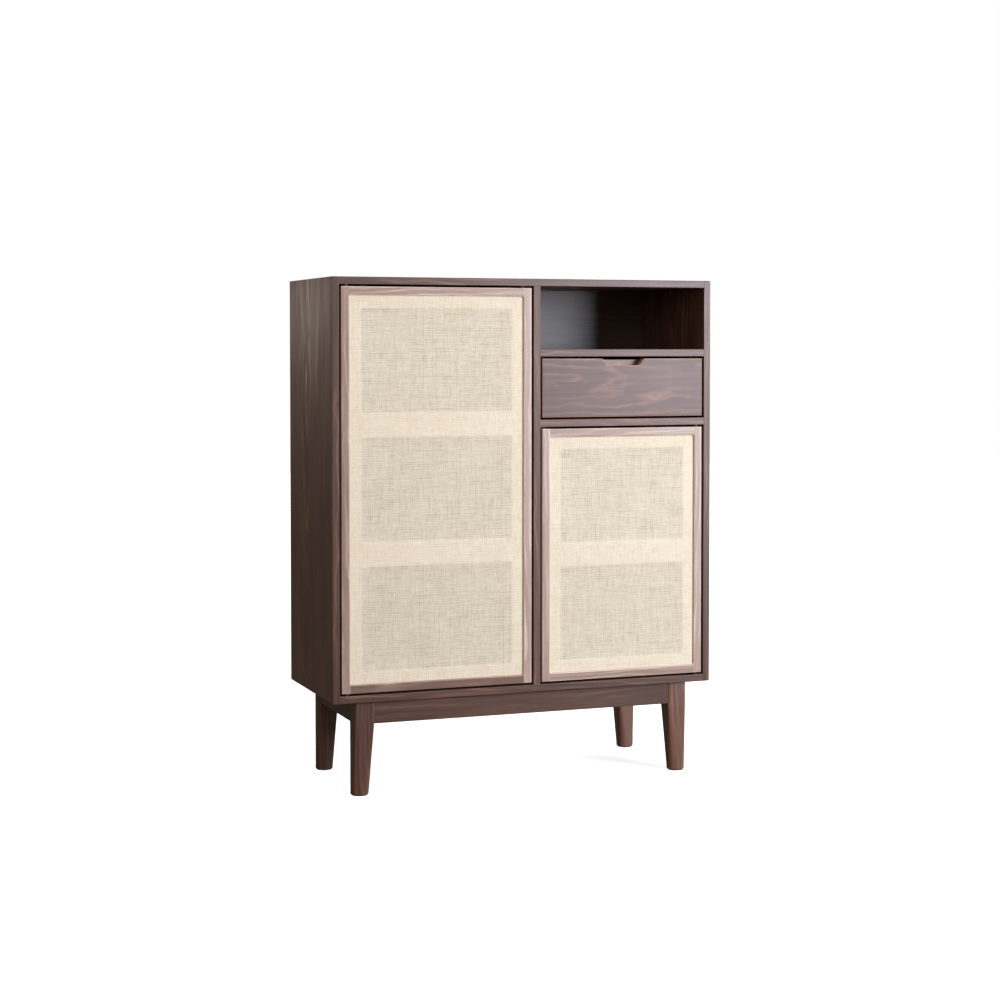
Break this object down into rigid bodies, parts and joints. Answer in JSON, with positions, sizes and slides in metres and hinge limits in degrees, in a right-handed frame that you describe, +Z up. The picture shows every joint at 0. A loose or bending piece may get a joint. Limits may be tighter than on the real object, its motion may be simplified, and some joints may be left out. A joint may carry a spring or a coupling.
{
  "type": "shoe cabinet",
  "caption": "Free-standing shoe cabinet on tapered legs with cane-panelled doors, a drawer with a finger notch and an open compartment.",
  "frame": {"origin": "on the floor under the middle of the carcass", "axes": "+Z up, +X to the right seen from the front, the front faces -Y"},
  "size_m": [1, 0.396, 1.254],
  "materials": {
    "stained_pine": "satin walnut-brown stain on pine",
    "pale_pine": "bare pale pine",
    "woven_cane": "matt plain-woven natural fibre",
    "stained_plywood": "satin stained plywood",
    "beech": "raw beech",
    "zinc_steel": "zinc-plated steel",
    "bronzed_steel": "bronze-coloured steel",
    "screw_steel": "zinc-plated screws",
    "glide_plastic": "black nylon",
    "latch_plastic": "brown moulded plastic",
    "plunger_plastic": "light grey moulded plastic"
  },
  "bodies": {
    "cabinet": {"top_panel": "stained_pine", "bottom_panel": "stained_pine", "left_side_panel": "stained_pine", "right_side_panel": "stained_pine", "divider_panel": "stained_pine", "lower_fixed_shelf": "stained_pine", "upper_fixed_shelf": "stained_pine", "back_panel": "stained_plywood", "left_shelf_1": "stained_pine", "left_shelf_2": "stained_pine", "left_shelf_3": "stained_pine", "right_shelf_1": "stained_pine", "right_shelf_2": "stained_pine", "shelf_pins": "zinc_steel", "carcass_dowels": "beech", "leg_front_left": "stained_pine", "leg_front_right": "stained_pine", "leg_back_left": "stained_pine", "leg_back_right": "stained_pine", "apron_front": "stained_pine", "apron_back": "stained_pine", "apron_left": "stained_pine", "apron_right": "stained_pine", "corner_blocks": "stained_pine", "leg_bolts": "zinc_steel", "leg_glides": "glide_plastic", "door_pivot_plates": "bronzed_steel", "cabinet_screws": "screw_steel", "latch_housings": "latch_plastic", "slide_outer_members": "zinc_steel"},
    "left_door": {"left_door_hinge_stile": "stained_pine", "left_door_free_stile": "stained_pine", "left_door_top_rail": "stained_pine", "left_door_bottom_rail": "stained_pine", "left_door_inner_frame": "pale_pine", "left_door_cane": "woven_cane", "left_door_pivot_leaves": "bronzed_steel", "left_door_fasteners": "screw_steel"},
    "right_door": {"right_door_hinge_stile": "stained_pine", "right_door_free_stile": "stained_pine", "right_door_top_rail": "stained_pine", "right_door_bottom_rail": "stained_pine", "right_door_inner_frame": "pale_pine", "right_door_cane": "woven_cane", "right_door_pivot_leaves": "bronzed_steel", "right_door_fasteners": "screw_steel"},
    "drawer": {"drawer_front": "stained_pine", "drawer_inner_front": "stained_pine", "drawer_left_side": "stained_pine", "drawer_right_side": "stained_pine", "drawer_back": "stained_pine", "drawer_bottom": "stained_plywood", "drawer_screws": "screw_steel", "slide_inner_members": "zinc_steel"},
    "slide_intermediates": {"slide_intermediate_members": "zinc_steel"},
    "outer_retainers": {"outer_ball_retainers": "zinc_steel"},
    "inner_retainers": {"inner_ball_retainers": "zinc_steel"},
    "left_plunger": {"left_latch_plunger": "plunger_plastic"},
    "right_plunger": {"right_latch_plunger": "plunger_plastic"}
  },
  "joints": [
    {"name": "left_door_hinge", "type": "hinge", "parent": "cabinet", "child": "left_door", "pos_m": [-0.463, -0.188, 0.742], "axis": [0, 0, -1], "range_deg": [0, 110]},
    {"name": "right_door_hinge", "type": "hinge", "parent": "cabinet", "child": "right_door", "pos_m": [0.463, -0.188, 0.568], "axis": [0, 0, 1], "range_deg": [0, 110]},
    {"name": "drawer_slide", "type": "slide", "parent": "cabinet", "child": "drawer", "axis": [0, -1, 0], "range_m": [0, 0.3]},
    {"name": "intermediate_slide", "type": "slide", "parent": "cabinet", "child": "slide_intermediates", "axis": [0, -1, 0], "range_m": [0, 0.15]},
    {"name": "outer_retainer_roll", "type": "slide", "parent": "cabinet", "child": "outer_retainers", "axis": [0, -1, 0], "range_m": [0, 0.075]},
    {"name": "inner_retainer_roll", "type": "slide", "parent": "cabinet", "child": "inner_retainers", "axis": [0, -1, 0], "range_m": [0, 0.225]},
    {"name": "left_latch_press", "type": "slide", "parent": "cabinet", "child": "left_plunger", "axis": [0, 1, 0], "range_m": [0, 0.003], "stiffness_N_per_m": 400},
    {"name": "right_latch_press", "type": "slide", "parent": "cabinet", "child": "right_plunger", "axis": [0, 1, 0], "range_m": [0, 0.003], "stiffness_N_per_m": 400}
  ],
  "couplings": [
    {"joint": "intermediate_slide", "follows": "drawer_slide", "ratio": 0.5},
    {"joint": "outer_retainer_roll", "follows": "drawer_slide", "ratio": 0.25},
    {"joint": "inner_retainer_roll", "follows": "drawer_slide", "ratio": 0.75}
  ]
}
